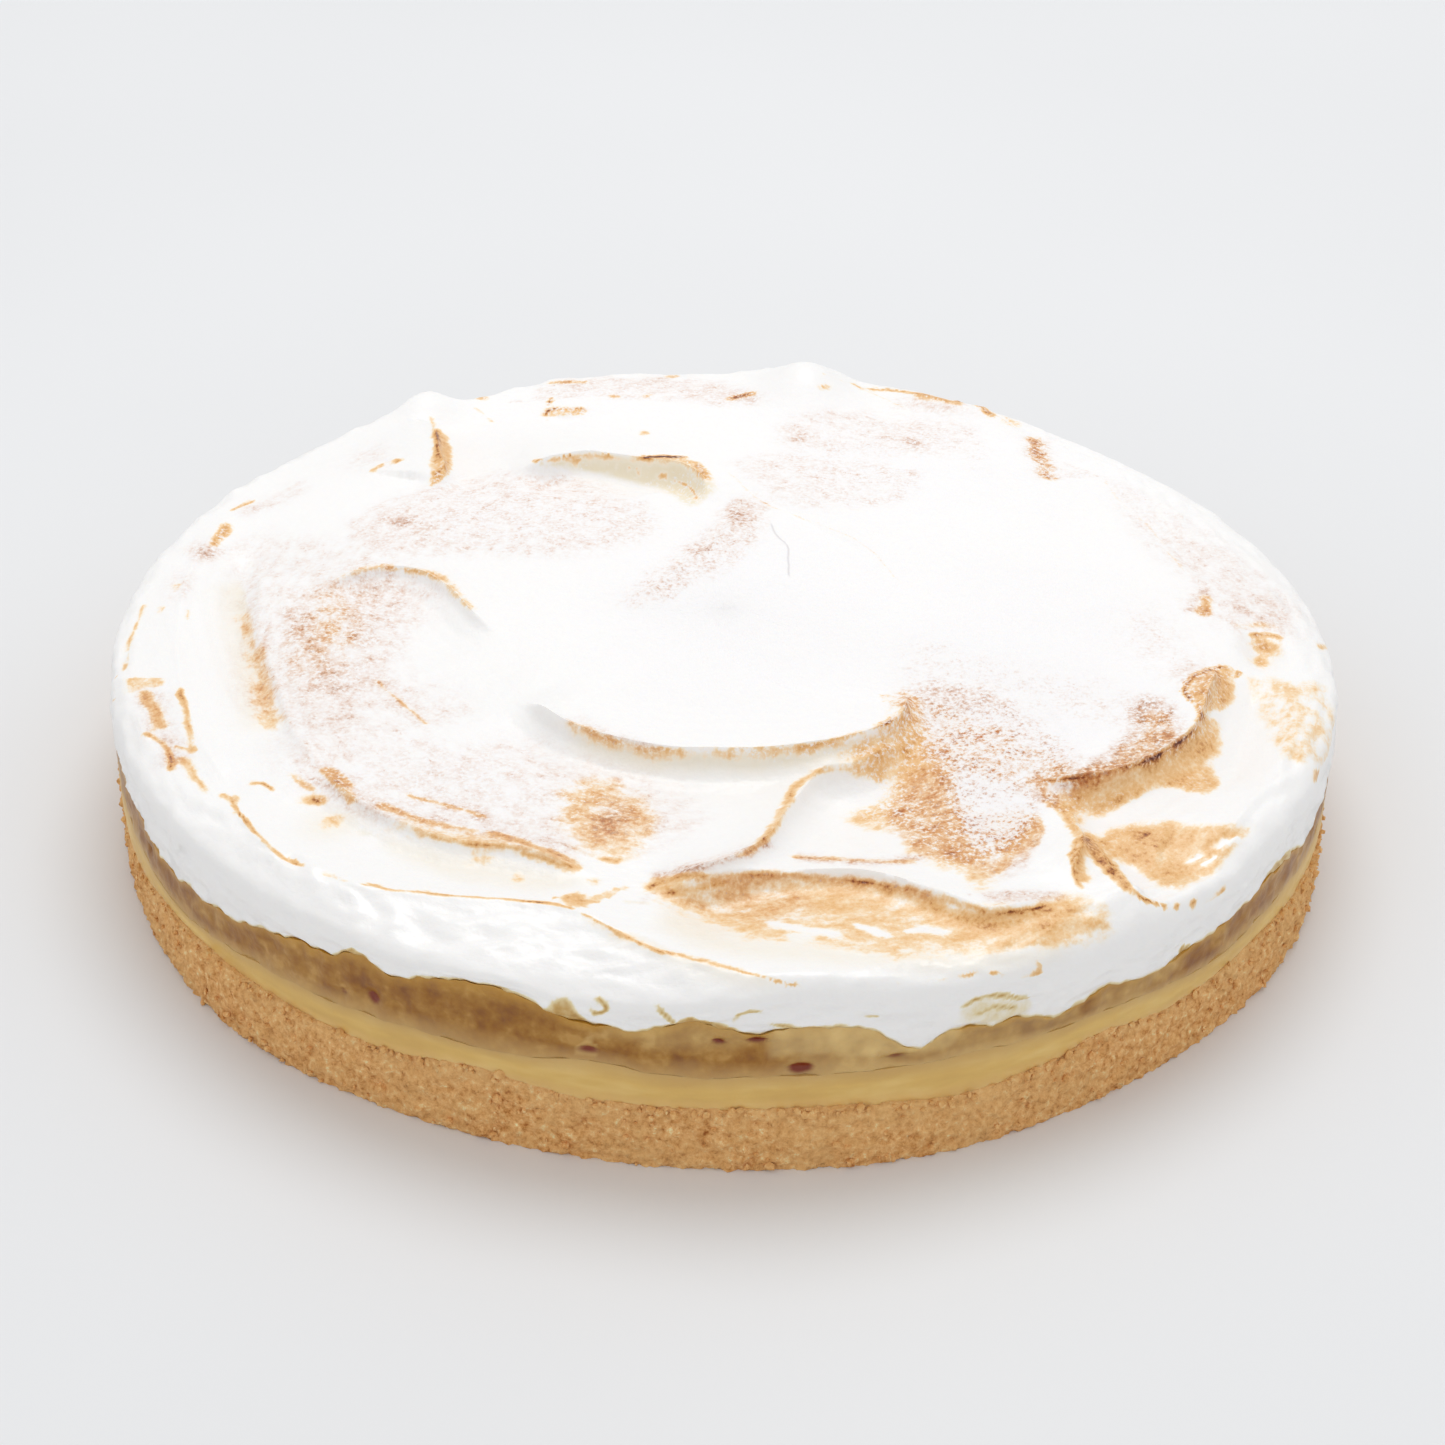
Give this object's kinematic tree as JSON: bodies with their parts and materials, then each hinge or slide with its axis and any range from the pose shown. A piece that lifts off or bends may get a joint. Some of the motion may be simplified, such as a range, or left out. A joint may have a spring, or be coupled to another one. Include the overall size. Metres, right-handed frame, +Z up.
{
  "type": "rhubarb meringue tart",
  "caption": "Round uncut tart: a shortcrust base under custard, rhubarb compote and a swirled, torched meringue cap.",
  "frame": {"origin": "middle of the flat underside of the crust, on the surface that the tart stands on", "axes": "+Z up through the tart's middle, -Y towards the front, where the toasted swirls are strongest, +X to the right seen from the front"},
  "size_m": [0.2606, 0.2611, 0.0491],
  "materials": {
    "crust": "dry, crumbly shortcrust, golden tan",
    "custard": "smooth set custard, dull yellow with a moist sheen",
    "compote": "moist, slightly see-through olive brown fruit compote",
    "meringue": "soft white meringue, toasted brown on its crests and dusted with icing sugar"
  },
  "bodies": {
    "root": {"crust": "crust", "custard": "custard", "compote": "compote", "meringue": "meringue"}
  },
  "joints": []
}
